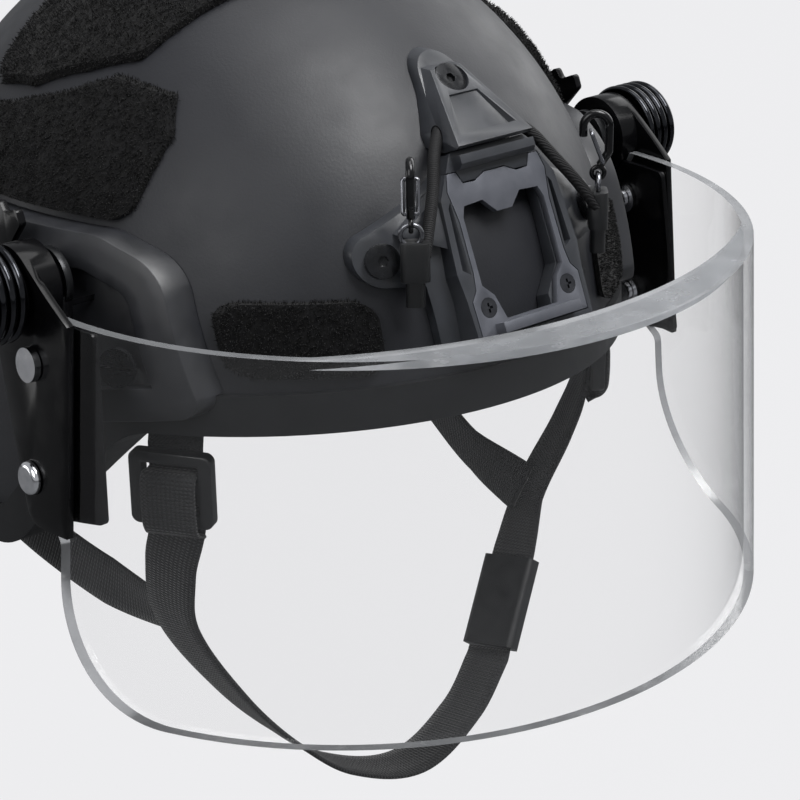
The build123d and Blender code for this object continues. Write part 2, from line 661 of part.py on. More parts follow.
lever_ear_top = lever_pivot_z + lever_pivot_r * 2
with BuildPart() as rail_adapter_right:
    with BuildSketch(Plane.YZ.offset(-adapter_inner_x)):
        with Locations(((web_front_y + adapter_rear_y) / 2, (adapter_low_z + adapter_top_z) / 2)):
            RectangleRounded(adapter_rear_y - web_front_y, adapter_top_z - adapter_low_z, flange_thick / 2)
    extrude(amount=-(adapter_outer_x - adapter_inner_x))
    with BuildSketch(Plane.YZ.offset(-adapter_inner_x)):
        with Locations(((adapter_front_y + adapter_rear_y) / 2, adapter_top_z - flange_thick / 2)):
            Rectangle(adapter_rear_y - adapter_front_y, flange_thick)
    extrude(amount=-(adapter_outer_x - adapter_inner_x))
    with BuildSketch(Plane.YZ.offset(-(adapter_outer_x - flange_thick))):
        with Locations(((adapter_front_y + adapter_rear_y) / 2, (adapter_low_z + adapter_top_z) / 2)):
            Rectangle(adapter_rear_y - adapter_front_y, adapter_top_z - adapter_low_z)
        with Locations((lever_pivot_y, (adapter_low_z + lever_ear_top) / 2)):
            Rectangle(lever_base, lever_ear_top - adapter_low_z)
    extrude(amount=-flange_thick)
    with BuildSketch(hinge_plane(pin_inner_x + pin_disc_h + seat_gap)):
        Circle(boss_r)
    extrude(amount=visor_radius - drum_depth - pin_inner_x - pin_disc_h - seat_gap * 2)
    add(adapter_seat.part, mode=Mode.SUBTRACT)
    add(adapter_rim_room.part, mode=Mode.SUBTRACT)
    with BuildSketch(hinge_plane(0)):
        Circle(pin_r + run_gap)
    extrude(amount=side_reach, mode=Mode.SUBTRACT)
    with BuildSketch(hinge_plane(0)):
        Circle(pin_disc_r + seat_gap)
    extrude(amount=pin_inner_x + pin_disc_h + seat_gap, mode=Mode.SUBTRACT)
    with BuildSketch(hinge_plane(0)):
        with Locations((hinge_y - lever_pivot_y, lever_pivot_z - hinge_z)):
            Circle(lever_pivot_r + run_gap)
    extrude(amount=side_reach, mode=Mode.SUBTRACT)
save(rail_adapter_right, "rail_adapter_right")
rail_adapter_left = mirrored(rail_adapter_right.part)
save(rail_adapter_left, "rail_adapter_left")

with BuildPart() as release_lever_right:
    with BuildSketch(hinge_plane(adapter_outer_x + seat_gap)):
        with BuildLine():
            Polyline(*[(hinge_y - y, z - hinge_z) for y, z in lever_outline], close=True)
        make_face()
        fillet(vertices(), lever_corner)
    extrude(amount=lever_thick)
    with BuildSketch(hinge_plane(adapter_outer_x - lever_pin_h)):
        with Locations((hinge_y - lever_pivot_y, lever_pivot_z - hinge_z)):
            Circle(lever_pivot_r)
    extrude(amount=lever_pin_h + seat_gap)
save(release_lever_right, "release_lever_right")
release_lever_left = mirrored(release_lever_right.part)
save(release_lever_left, "release_lever_left")

# Front shroud: a frame on a sloping face, two wings, a top lug and a hood over a shelf
shroud_face = Plane(
    origin=(0, -shroud_foot_y, shroud_foot_z), x_dir=axis_x,
    z_dir=(0, -cos(radians(shroud_tilt)), sin(radians(shroud_tilt))),
)


def both_sides(half):
    # A closed outline from its right half, which starts and ends on the middle line
    return half + [(-x, y) for x, y in reversed(half) if x]


def wing_sketch(plane, lug_r):
    with BuildSketch(plane) as wing:
        with BuildLine():
            CenterArc((shroud_lug_x, shroud_lug_z), lug_r, 0, 360)
            Line((wing_root_x, wing_low_z), (wing_root_x, wing_high_z))
        make_hull()
        mirror(about=Plane.YZ)
    return wing.sketch


with BuildPart() as shroud_base:
    with BuildSketch(Plane.XZ):
        Polygon(*both_sides(skirt_half), align=None)
    extrude(amount=half_length + overrun)
    with BuildSketch(Plane.XZ):
        with BuildLine():
            CenterArc((0, shroud_top_z), shroud_top_r, 0, 360)
            Line((-wing_root_x, wing_high_z), (wing_root_x, wing_high_z))
        make_hull()
    extrude(amount=half_length + overrun)
    extrude(wing_sketch(Plane.XZ, shroud_lug_r), amount=half_length + overrun)
    add(skin(seat_gap, seat_gap + shroud_lug_thick), mode=Mode.INTERSECT)

with BuildPart() as gussets:
    with BuildSketch(Plane.XZ):
        Polygon(*gusset, align=None)
        mirror(about=Plane.YZ)
    extrude(amount=half_length + overrun)
    add(skin(seat_gap, seat_gap + gusset_thick), mode=Mode.INTERSECT)

with BuildPart() as hood:
    with BuildSketch(Plane.XZ):
        Polygon(*both_sides(hood_half), align=None)
    extrude(amount=half_length + overrun)
    with BuildSketch(Plane.YZ):
        Polygon(*hood_profile, align=None)
    extrude(amount=half_width, both=True, mode=Mode.INTERSECT)

near_cord = [(-x, y, z) for x, y, z in cord_route]
with BuildPart() as cord_holes:
    for route in (cord_route, near_cord):
        with BuildSketch(Plane(origin=route[0], z_dir=Vector(*route[1]) - Vector(*route[0]))):
            Circle(cord_r + seat_gap)
        extrude(amount=overrun / 2)

with BuildPart() as shroud:
    with BuildSketch(shroud_face):
        Polygon(*both_sides(frame_half), align=None)
        fillet(vertices(), frame_corner)
    extrude(amount=-overrun)
    with BuildSketch(shroud_face):
        with Locations((0, shelf_low + shelf_height / 2)):
            Rectangle(shelf_half * 2, shelf_height)
    extrude(amount=shelf_out)
    chamfer(faces().sort_by(SortBy.DISTANCE)[-1].edges().sort_by(Axis.Z)[0], shelf_out * round_share)
    add(hood.part)
    add(dome(seat_gap), mode=Mode.SUBTRACT)
    add(shroud_base.part)
    add(gussets.part)
    with BuildSketch(shroud_face):
        Polygon(*both_sides(insert_half), align=None)
        offset(amount=insert_gap, kind=Kind.INTERSECTION)
    extrude(amount=-insert_thick - seat_gap, mode=Mode.SUBTRACT)
    with BuildSketch(shroud_face):
        Polygon(*both_sides(window_half), align=None)
    extrude(amount=-overrun, mode=Mode.SUBTRACT)
    with BuildSketch(shroud_face):
        Polygon(*side_pocket, align=None)
        mirror(about=Plane.YZ)
    extrude(amount=-side_pocket_depth, mode=Mode.SUBTRACT)
    with BuildSketch(*shroud_screw_planes):
        Circle(screw_head_r + seat_gap)
    extrude(amount=overrun, mode=Mode.SUBTRACT)
    with BuildSketch(*shroud_screw_planes):
        Circle(screw_shank_r + run_gap)
    extrude(amount=-overrun, mode=Mode.SUBTRACT)
    with BuildSketch(shroud_face):
        with Locations((-insert_screw_u, insert_screw_v), (insert_screw_u, insert_screw_v)):
            Circle(insert_shank_r + run_gap)
    extrude(amount=-insert_thick - insert_shank, mode=Mode.SUBTRACT)
    add(cord_holes.part, mode=Mode.SUBTRACT)
save(shroud, "shroud")

with BuildPart() as shroud_insert:
    with BuildSketch(shroud_face):
        Polygon(*both_sides(insert_half), align=None)
        fillet(vertices(), insert_corner)
        Polygon(*both_sides(insert_opening), align=None, mode=Mode.SUBTRACT)
    extrude(amount=-insert_thick)
    with BuildSketch(shroud_face):
        with Locations((0, ledge_low + ledge_height / 2)):
            Rectangle(ledge_half * 2, ledge_height)
    extrude(amount=ledge_out)
    with BuildSketch(shroud_face):
        with Locations((-insert_screw_u, insert_screw_v), (insert_screw_u, insert_screw_v)):
            Circle(insert_screw_r + run_gap)
    extrude(amount=-insert_screw_h, mode=Mode.SUBTRACT)
    with BuildSketch(shroud_face):
        with Locations((-insert_screw_u, insert_screw_v), (insert_screw_u, insert_screw_v)):
            Circle(insert_shank_r + run_gap)
    extrude(amount=-insert_thick, mode=Mode.SUBTRACT)
save(shroud_insert, "shroud_insert")

with BuildPart() as insert_screws:
    with BuildSketch(shroud_face.offset(-insert_screw_h)):
        with Locations((-insert_screw_u, insert_screw_v), (insert_screw_u, insert_screw_v)):
            Circle(insert_screw_r)
    extrude(amount=insert_screw_h)
    with BuildSketch(shroud_face):
        with Locations((-insert_screw_u, insert_screw_v), (insert_screw_u, insert_screw_v)):
            Rectangle(insert_screw_r, insert_screw_r / 4)
            Rectangle(insert_screw_r / 4, insert_screw_r)
    extrude(amount=-insert_screw_h / 2, mode=Mode.SUBTRACT)
    with BuildSketch(shroud_face.offset(-insert_screw_h)):
        with Locations((-insert_screw_u, insert_screw_v), (insert_screw_u, insert_screw_v)):
            Circle(insert_shank_r)
    extrude(amount=-(insert_thick - insert_screw_h + insert_shank - seat_gap))
save(insert_screws, "insert_screws")

with BuildPart() as shroud_screws:
    with BuildSketch(*shroud_screw_planes):
        Circle(screw_head_r)
    extrude(amount=screw_head_h)
    with BuildSketch(*[plane.offset(screw_head_h) for plane in shroud_screw_planes]):
        RegularPolygon(screw_socket_r, 6)
    extrude(amount=-screw_head_h / 2, mode=Mode.SUBTRACT)
    with BuildSketch(*shroud_screw_planes):
        Circle(screw_shank_r)
    extrude(amount=-(shroud_lug_thick + seat_gap + shell_wall + rail_nut_h))
save(shroud_screws, "shroud_screws")

rail_nut_depth = rail_thick + shell_wall + strap_seat * 2
with BuildPart() as shell_nuts:
    with BuildSketch(*[plane.offset(-rail_nut_depth) for plane in rail_screw_planes]):
        RegularPolygon(rail_nut_r, 6)
        Circle(rail_screw_shank_r + run_gap, mode=Mode.SUBTRACT)
    extrude(amount=-rail_nut_h)
    with BuildSketch(*[
        plane.offset(-shroud_lug_thick - seat_gap * 2 - shell_wall) for plane in shroud_screw_planes
    ]):
        RegularPolygon(rail_nut_r, 6)
        Circle(screw_shank_r + run_gap, mode=Mode.SUBTRACT)
    extrude(amount=-rail_nut_h)
save(shell_nuts, "shell_nuts")

# Bungees: an elastic cord, a rubber sleeve, a ring or cup and a gated hook on each side
def cord_path(route):
    # Straight runs joined by arcs as large as the runs allow
    points = [Vector(*point) for point in route]
    radii = []
    for before, here, after in zip(points, points[1:], points[2:]):
        turn = radians((here - before).get_angle(after - here))
        radii.append(cord_bend_share * min((here - before).length, (after - here).length) / tan(turn / 2))
    print("cord bend radii", [round(radius, 1) for radius in radii])
    return points, radii


with BuildPart() as bungee_cord_left:
    with BuildLine() as cord_line:
        points, radii = cord_path(cord_route)
        FilletPolyline(*points, radius=radii)
    with BuildSketch(Plane(origin=points[0], z_dir=points[1] - points[0])):
        Circle(cord_r)
    sweep(path=cord_line.line)
print("cord volume share", bungee_cord_left.part.volume / (pi * cord_r**2 * cord_line.wire().length))
save(bungee_cord_left, "bungee_cord_left")
bungee_cord_right = mirrored(bungee_cord_left.part)
save(bungee_cord_right, "bungee_cord_right")


def hook_plane(at, across):
    # The plane of a hook, with its height upright and its width along across
    return Plane(origin=at, x_dir=across, z_dir=across.cross(axis_z))


def torus(at, across, middle_r, wire):
    # A ring in the upright plane that holds across
    with BuildPart() as ring:
        with BuildSketch(Plane(origin=at, x_dir=across, z_dir=axis_z)):
            with Locations((middle_r, 0)):
                Circle(wire)
        revolve(axis=Axis(at, across.cross(axis_z)))
    return ring.part


def save_bungee(side, route, at, across, facing):
    # Sleeve, ring, hook and gate below a cord: the ring lies along across, the hook along facing
    ring_at = at - across * ring_shift + axis_z * ring_lift
    eye_at = ring_at + axis_z * ring_r
    place = hook_plane(eye_at, facing)
    top = Plane(origin=at, x_dir=across, z_dir=-axis_z)
    with BuildPart() as tube:
        with BuildSketch(top):
            RectangleRounded(sleeve_width, sleeve_deep, sleeve_deep * round_share)
        extrude(amount=sleeve_top_length)
        with BuildSketch(top.offset(sleeve_top_length)):
            RectangleRounded(sleeve_low_width, sleeve_low_deep, sleeve_low_deep * round_share)
        extrude(amount=sleeve_low_length)
        with BuildSketch(Plane(origin=route[-1], z_dir=Vector(*route[-2]) - Vector(*route[-1]))):
            Circle(cord_r + run_gap)
        extrude(amount=overrun, mode=Mode.SUBTRACT)
        add(torus(ring_at, across, ring_r, ring_wire_r + run_gap), mode=Mode.SUBTRACT)
    save(tube, f"bungee_sleeve_{side}")
    with BuildPart() as ring:
        add(torus(ring_at, across, ring_r, ring_wire_r))
    save(ring, f"bungee_ring_{side}")
    with BuildPart() as hook:
        with BuildLine(place) as spine:
            FilletPolyline(*hook_spine, radius=hook_bends)
        with BuildSketch(Plane(origin=spine.line @ 0, z_dir=spine.line % 0)):
            Circle(hook_wire_r)
        sweep(path=spine.line)
        add(torus(eye_at, facing, eye_r, eye_wire_r))
        with BuildSketch(place):
            with Locations(gate_pivot):
                Circle(gate_wire_r + run_gap)
        extrude(amount=gate_half, both=True, mode=Mode.SUBTRACT)
    save(hook, f"bungee_hook_{side}")
    loop = [(gate_pivot, -round_share), (gate_pivot, -1), (gate_tip, -1),
            (gate_tip, 1), (gate_pivot, 1), (gate_pivot, round_share)]
    with BuildPart() as gate:
        with BuildLine() as wire:
            FilletPolyline(
                *[place.from_local_coords((x, y, share * gate_half)) for (x, y), share in loop],
                radius=gate_wire_r,
            )
        with BuildSketch(Plane(origin=wire.line @ 0, z_dir=wire.line % 0)):
            Circle(gate_wire_r)
        sweep(path=wire.line)
    save(gate, f"hook_gate_{side}")


save_bungee("right", near_cord, Vector(*near_sleeve), Vector(*near_across), Vector(*near_facing))
save_bungee("left", cord_route, Vector(*far_sleeve), Vector(*far_across), Vector(*far_facing))

# Liner pads, held to the shell's inside by hook and loop
pad_layer = skin(-shell_wall - pad_thick, -shell_wall - seat_gap)


def pad(outline, amount):
    # A pad cut from the liner layer by an outline, with rounded edges
    with BuildPart() as cushion:
        add(pad_layer)
        extrude(outline, amount=amount, mode=Mode.INTERSECT)
        fillet(edges().filter_by(lambda e: e.length > pad_thick * 2), pad_round)
    return cushion


def pad_outline(plane, middle, length, height):
    with BuildSketch(plane) as outline:
        with Locations(middle):
            RectangleRounded(length, height, pad_corner)
    return outline.sketch


with BuildSketch(Plane.XY) as crown_outline:
    Circle(crown_pad_r)
save(pad(crown_outline.sketch, crown_height), "crown_pad")
for middle_y, name in ((fore_pad_y, "fore_pad"), (aft_pad_y, "aft_pad")):
    outline = pad_outline(Plane.YZ, (middle_y, side_pad_z), side_pad_length, side_pad_height)
    side_pad = pad(outline, -side_reach)
    save(side_pad, f"{name}_right")
    save(mirrored(side_pad.part), f"{name}_left")
save(pad(pad_outline(Plane.XZ, (0, front_pad_z), end_pad_width, end_pad_height), half_length), "front_pad")
save(pad(pad_outline(Plane.XZ, (0, rear_pad_z), end_pad_width, end_pad_height), -half_length), "rear_pad")


# Webbing: flat bands laid through stations, each a point and the band's width direction
def flipped(stations):
    return [((-x, y, z), (-a, b, c)) for (x, y, z), (a, b, c) in stations]


def band(stations):
    points = [Vector(*point) for point, _ in stations]
    befores = points[:1] + points[:-1]
    afters = points[1:] + points[-1:]
    print("strap length", round(sum((b - a).length for a, b in zip(points, points[1:]))))
    planes = [
        Plane(origin=point, x_dir=across, z_dir=after - before)
        for (point, across), before, after in zip(stations, befores, afters)
    ]
    with BuildPart() as strap:
        with BuildSketch(*planes):
            Rectangle(web_width, web_thick)
        loft(ruled=True)
        with BuildSketch(*rail_screw_planes):
            Circle(rail_screw_shank_r + run_gap)
        extrude(amount=-overrun, mode=Mode.SUBTRACT)
    return strap


save(band(front_stations + chin_stations), "front_strap_right")
save(band(flipped(front_stations + front_end)), "front_strap_left")
rear_strap = band(rear_stations)
save(rear_strap, "rear_strap_right")
save(mirrored(rear_strap.part), "rear_strap_left")
save(band(nape_stations), "nape_strap")

# Ladder-lock adjusters on the front straps
with BuildPart() as adjuster_right:
    with BuildSketch(Plane(origin=adjuster_at, x_dir=adjuster_across, z_dir=adjuster_out)):
        RectangleRounded(adjuster_width, adjuster_height, adjuster_corner)
        with Locations((0, adjuster_height / 4), (0, -adjuster_height / 4)):
            Rectangle(web_width, adjuster_height * adjuster_slot_share, mode=Mode.SUBTRACT)
    extrude(amount=adjuster_thick)
save(adjuster_right, "adjuster_right")
save(mirrored(adjuster_right.part), "adjuster_left")

# Side-release buckle on the wearer's left, between the chin band and the left front strap
buckle_top, buckle_low = Vector(*front_end[-1][0]), Vector(*chin_stations[-1][0])
buckle_top = Vector(-buckle_top.X, buckle_top.Y, buckle_top.Z)
buckle_run = (buckle_low - buckle_top).normalized()
buckle_room = (buckle_low - buckle_top).length
with BuildPart() as buckle_plug:
    with BuildSketch(Plane(buckle_top + buckle_run * seat_gap, buckle_across, buckle_run)):
        RectangleRounded(buckle_width, buckle_thick, buckle_thick * round_share)
    extrude(amount=buckle_room * buckle_plug_share)
save(buckle_plug, "buckle_plug")
with BuildPart() as buckle_socket:
    with BuildSketch(Plane(buckle_low - buckle_run * seat_gap, buckle_across, -buckle_run)):
        RectangleRounded(buckle_width, buckle_thick, buckle_thick * round_share)
    extrude(amount=buckle_room * (1 - buckle_plug_share) - seat_gap * 2)
save(buckle_socket, "buckle_socket")
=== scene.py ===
import json
import math

import bmesh
import bpy
import numpy as np
from mathutils import Matrix, Vector


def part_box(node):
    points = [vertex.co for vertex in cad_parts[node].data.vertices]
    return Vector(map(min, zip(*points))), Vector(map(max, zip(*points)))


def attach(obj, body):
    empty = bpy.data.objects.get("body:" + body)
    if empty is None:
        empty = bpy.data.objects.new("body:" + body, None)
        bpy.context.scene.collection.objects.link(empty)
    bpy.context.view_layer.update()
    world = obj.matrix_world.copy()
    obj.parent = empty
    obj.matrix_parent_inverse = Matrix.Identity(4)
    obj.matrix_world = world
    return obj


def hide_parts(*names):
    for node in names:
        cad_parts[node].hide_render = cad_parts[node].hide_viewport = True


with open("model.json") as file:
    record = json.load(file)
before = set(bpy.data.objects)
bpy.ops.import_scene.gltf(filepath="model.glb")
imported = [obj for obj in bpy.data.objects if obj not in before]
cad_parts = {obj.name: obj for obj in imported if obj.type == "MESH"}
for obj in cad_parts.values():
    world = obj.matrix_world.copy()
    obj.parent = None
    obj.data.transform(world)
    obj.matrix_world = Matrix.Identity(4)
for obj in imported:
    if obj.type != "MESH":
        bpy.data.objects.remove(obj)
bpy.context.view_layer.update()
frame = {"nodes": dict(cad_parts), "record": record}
nodes = frame["nodes"]
mm = 0.001
weldDistance = 0.01 * mm  # corners of neighbouring CAD triangles lie closer than this
print("frame loaded:", len(nodes), "nodes")


def hexLinear(code):
    # an sRGB hex colour as linear RGBA
    parts = [int(code[i:i + 2], 16) / 255 for i in (1, 3, 5)]
    return [p / 12.92 if p <= 0.04045 else ((p + 0.055) / 1.055) ** 2.4 for p in parts] + [1.0]


def addNode(tree, kind, settings=None, links=None):
    # a node with its properties and socket values set, and its inputs linked to other nodes' outputs
    node = tree.nodes.new(kind)
    for key, value in (settings or {}).items():
        if isinstance(key, str) and hasattr(node, key):
            setattr(node, key, value)
        else:
            node.inputs[key].default_value = value
    for key, source in (links or {}).items():
        tree.links.new(source, node.inputs[key])
    return node


def newFinish(name, settings):
    # a material with its Principled shader, ready for more nodes
    finish = bpy.data.materials.new(name)
    finish.use_nodes = True
    tree = finish.node_tree
    shader = tree.nodes["Principled BSDF"]
    for key, value in settings.items():
        shader.inputs[key].default_value = value
    return finish, tree, shader


def addGrain(tree, shader, size, strength, depth, detail=2.0):
    # an even raised grain, size and depth in metres
    where = addNode(tree, "ShaderNodeTexCoord")
    grain = addNode(tree, "ShaderNodeTexNoise", {"Scale": 1 / size, "Detail": detail, "Roughness": 0.6},
                    {"Vector": where.outputs["Object"]})
    bump = addNode(tree, "ShaderNodeBump", {"Strength": strength, "Distance": depth},
                   {"Height": grain.outputs["Fac"]})
    tree.links.new(bump.outputs["Normal"], shader.inputs["Normal"])
    return where


def mixColours(tree, shader, where, size, low, high, detail=3.0, ends=(0.35, 0.68)):
    # slow colour drift between two close colours, reached at these two heights of the noise
    drift = addNode(tree, "ShaderNodeTexNoise", {"Scale": 1 / size, "Detail": detail},
                    {"Vector": where.outputs["Object"]})
    ramp = addNode(tree, "ShaderNodeValToRGB", {}, {"Fac": drift.outputs["Fac"]})
    for stop, place, colour in zip(ramp.color_ramp.elements, ends, (low, high)):
        stop.position = place
        stop.color = hexLinear(colour)
    tree.links.new(ramp.outputs["Color"], shader.inputs["Base Color"])


def addWear(tree, shader, where, size, smooth, rough):
    # handling marks: roughness wanders between two values
    marks = addNode(tree, "ShaderNodeTexNoise", {"Scale": 1 / size, "Detail": 5.0},
                    {"Vector": where.outputs["Object"]})
    spread = addNode(tree, "ShaderNodeMapRange", {"From Min": 0.3, "From Max": 0.7,
                                                  "To Min": smooth, "To Max": rough},
                     {"Value": marks.outputs["Fac"]})
    tree.links.new(spread.outputs["Result"], shader.inputs["Roughness"])


# Textured polyurethane spray over an aramid shell: a soft leathery grain that scatters light
def shellPaint():
    finish, tree, shader = newFinish("Sprayed polyurethane shell", {"IOR": 1.5, "Specular IOR Level": 0.36})
    where = addGrain(tree, shader, 0.9 * mm, 0.42, 0.12 * mm, 3.0)
    mixColours(tree, shader, where, 30 * mm, "#1f2024", "#232428")
    addWear(tree, shader, where, 14 * mm, 0.42, 0.52)
    return finish


# Extruded rubber edge trim: dark, even and slightly waxy
def trimRubber():
    finish, tree, shader = newFinish("Extruded rubber trim", {"IOR": 1.5, "Specular IOR Level": 0.3})
    where = addGrain(tree, shader, 0.5 * mm, 0.15, 0.05 * mm)
    mixColours(tree, shader, where, 12 * mm, "#121315", "#17181a")
    addWear(tree, shader, where, 8 * mm, 0.38, 0.52)
    return finish


# Napped nylon loop: each fibre is matt, the pile swallows light
def loopPile():
    finish, tree, shader = newFinish("Napped nylon loop", {"Roughness": 0.9, "Specular IOR Level": 0.2,
                                                           "Sheen Weight": 0.08, "Sheen Roughness": 0.5})
    where = addGrain(tree, shader, 1.1 * mm, 0.9, 0.6 * mm, 4.0)
    mixColours(tree, shader, where, 1.6 * mm, "#030303", "#0e0e10", 5.0)
    return finish


# Injection-moulded nylon with spark-eroded texture: satin, fine grain
def mouldedNylon(name, low, high, smooth, rough):
    finish, tree, shader = newFinish(name, {"IOR": 1.53})
    where = addGrain(tree, shader, 0.28 * mm, 0.3, 0.04 * mm, 2.0)
    mixColours(tree, shader, where, 9 * mm, low, high)
    addWear(tree, shader, where, 5 * mm, smooth, rough)
    return finish


# Polished black ABS: deep and glossy with faint handling haze
def glossAbs():
    finish, tree, shader = newFinish("Polished black plastic", {"IOR": 1.53, "Specular IOR Level": 0.18})
    where = addGrain(tree, shader, 2.5 * mm, 0.04, 0.05 * mm)
    mixColours(tree, shader, where, 15 * mm, "#070708", "#0b0b0d")
    addWear(tree, shader, where, 7 * mm, 0.14, 0.26)
    return finish


# Hard-anodised aluminium: dull grey-black with a soft metal sheen
def anodised():
    finish, tree, shader = newFinish("Hard-anodised aluminium", {"Metallic": 0.45})
    where = addGrain(tree, shader, 0.2 * mm, 0.2, 0.02 * mm)
    mixColours(tree, shader, where, 6 * mm, "#54565d", "#5c5e65")
    addWear(tree, shader, where, 4 * mm, 0.4, 0.52)
    return finish


# Steel: plated bright, or blackened with a thin oily shine
def steel(name, low, high, metallic, smooth, rough):
    finish, tree, shader = newFinish(name, {"Metallic": metallic})
    where = addGrain(tree, shader, 0.35 * mm, 0.08, 0.02 * mm)
    mixColours(tree, shader, where, 4 * mm, low, high)
    addWear(tree, shader, where, 3 * mm, smooth, rough)
    return finish


def schlick(tree):
    # how much a smooth clear surface mirrors: 4 % seen squarely, all of it at a graze
    tilt = addNode(tree, "ShaderNodeLayerWeight", {"Blend": 0.5})
    steep = addNode(tree, "ShaderNodeMath", {"operation": "POWER", 1: 5.0}, {0: tilt.outputs["Facing"]})
    return addNode(tree, "ShaderNodeMath", {"operation": "MULTIPLY_ADD", 1: 0.96, 2: 0.04},
                   {0: steep.outputs[0]})


# Clear polycarbonate, moulded and hard-coated: nearly invisible on the flat, with thin mirror reflections
def clearSheet():
    finish = bpy.data.materials.new("Clear polycarbonate sheet")
    finish.use_nodes = True
    tree = finish.node_tree
    tree.nodes.remove(tree.nodes["Principled BSDF"])
    where = addNode(tree, "ShaderNodeTexCoord")
    ripple = addNode(tree, "ShaderNodeTexNoise", {"Scale": 1 / (60 * mm), "Detail": 1.0},
                     {"Vector": where.outputs["Object"]})
    bump = addNode(tree, "ShaderNodeBump", {"Strength": 0.05, "Distance": 0.3 * mm},
                   {"Height": ripple.outputs["Fac"]})
    clear = addNode(tree, "ShaderNodeBsdfTransparent", {"Color": hexLinear("#fefefe")})
    mirror = addNode(tree, "ShaderNodeBsdfGlossy", {"Color": hexLinear("#ffffff"), "Roughness": 0.03},
                     {"Normal": bump.outputs["Normal"]})
    share = schlick(tree)
    mix = addNode(tree, "ShaderNodeMixShader", {},
                  {0: share.outputs[0], 1: clear.outputs["BSDF"], 2: mirror.outputs["BSDF"]})
    tree.links.new(mix.outputs["Shader"], tree.nodes["Material Output"].inputs["Surface"])
    return finish


# The sheet's sawn and flame-polished edge: its pale grey colour is a painted highlight, standing in for the
# white glow of the light the clear edge gathers
def paintedEdgeHighlight():
    finish, tree, shader = newFinish("Sheet edge with painted highlight", {
        "IOR": 1.3, "Transmission Weight": 0.55})
    where = addGrain(tree, shader, 3.0 * mm, 0.08, 0.1 * mm)
    # painted highlight: pale grey base colour on the clear edge, with random brighter and darker patches
    mixColours(tree, shader, where, 12 * mm, "#8f9194", "#a0a2a5")
    addWear(tree, shader, where, 9 * mm, 0.12, 0.3)
    path = addNode(tree, "ShaderNodeLightPath")
    clear = addNode(tree, "ShaderNodeBsdfTransparent", {"Color": hexLinear("#f4f5f6")})
    mix = addNode(tree, "ShaderNodeMixShader", {},
                  {0: path.outputs["Is Shadow Ray"], 1: shader.outputs["BSDF"], 2: clear.outputs["BSDF"]})
    tree.links.new(mix.outputs["Shader"], tree.nodes["Material Output"].inputs["Surface"])
    return finish


# Braided elastic cover: fine diagonal strands, about 0.7 mm apart
def braidedCord():
    finish, tree, shader = newFinish("Braided elastic cover", {"Roughness": 0.7, "Specular IOR Level": 0.3})
    where = addNode(tree, "ShaderNodeTexCoord")
    strands = addNode(tree, "ShaderNodeTexWave", {"wave_type": "BANDS", "bands_direction": "DIAGONAL",
                                                  "Scale": 0.55 / mm, "Distortion": 2.5, "Detail": 1.0},
                      {"Vector": where.outputs["Object"]})
    bump = addNode(tree, "ShaderNodeBump", {"Strength": 0.6, "Distance": 0.2 * mm},
                   {"Height": strands.outputs["Fac"]})
    tree.links.new(bump.outputs["Normal"], shader.inputs["Normal"])
    ramp = addNode(tree, "ShaderNodeValToRGB", {}, {"Fac": strands.outputs["Fac"]})
    ramp.color_ramp.elements[0].color = hexLinear("#060607")
    ramp.color_ramp.elements[1].color = hexLinear("#161618")
    tree.links.new(ramp.outputs["Color"], shader.inputs["Base Color"])
    return finish


# Woven nylon webbing: ribs across the band and twill along it, from the piece's own UV map in metres
def wovenNylon():
    finish, tree, shader = newFinish("Woven nylon webbing", {"Roughness": 0.72, "Sheen Weight": 0.25,
                                                             "Specular IOR Level": 0.35})
    where = addNode(tree, "ShaderNodeTexCoord")
    parts = addNode(tree, "ShaderNodeSeparateXYZ", {}, {"Vector": where.outputs["UV"]})
    # picks are 1.1 mm apart along the band, drawn slightly coarse so that they show
    picks = addNode(tree, "ShaderNodeMath", {"operation": "MULTIPLY", 1: 2 * math.pi / (1.3 * mm)},
                    {0: parts.outputs["X"]})
    ends = addNode(tree, "ShaderNodeMath", {"operation": "MULTIPLY", 1: 2 * math.pi / (1.6 * mm)},
                   {0: parts.outputs["Y"]})
    pickWave = addNode(tree, "ShaderNodeMath", {"operation": "SINE"}, {0: picks.outputs[0]})
    endWave = addNode(tree, "ShaderNodeMath", {"operation": "SINE"}, {0: ends.outputs[0]})
    weave = addNode(tree, "ShaderNodeMath", {"operation": "MULTIPLY"},
                    {0: pickWave.outputs[0], 1: endWave.outputs[0]})
    both = addNode(tree, "ShaderNodeMath", {"operation": "ADD"},
                   {0: weave.outputs[0], 1: pickWave.outputs[0]})
    bump = addNode(tree, "ShaderNodeBump", {"Strength": 0.6, "Distance": 0.18 * mm},
                   {"Height": both.outputs[0]})
    tree.links.new(bump.outputs["Normal"], shader.inputs["Normal"])
    spread = addNode(tree, "ShaderNodeMapRange", {"From Min": -2.0, "From Max": 2.0},
                     {"Value": both.outputs[0]})
    ramp = addNode(tree, "ShaderNodeValToRGB", {}, {"Fac": spread.outputs["Result"]})
    ramp.color_ramp.elements[0].color = hexLinear("#0b0b0c")
    ramp.color_ramp.elements[1].color = hexLinear("#1d1e21")
    tree.links.new(ramp.outputs["Color"], shader.inputs["Base Color"])
    return finish


# Brushed nylon tricot over foam: soft knit with a faint lint
def padCloth():
    finish, tree, shader = newFinish("Brushed tricot over foam", {"Roughness": 0.9, "Sheen Weight": 0.4,
                                                                  "Specular IOR Level": 0.25})
    where = addGrain(tree, shader, 0.8 * mm, 0.6, 0.2 * mm, 3.0)
    mixColours(tree, shader, where, 2.5 * mm, "#0e0f10", "#1a1b1d", 4.0)
    return finish


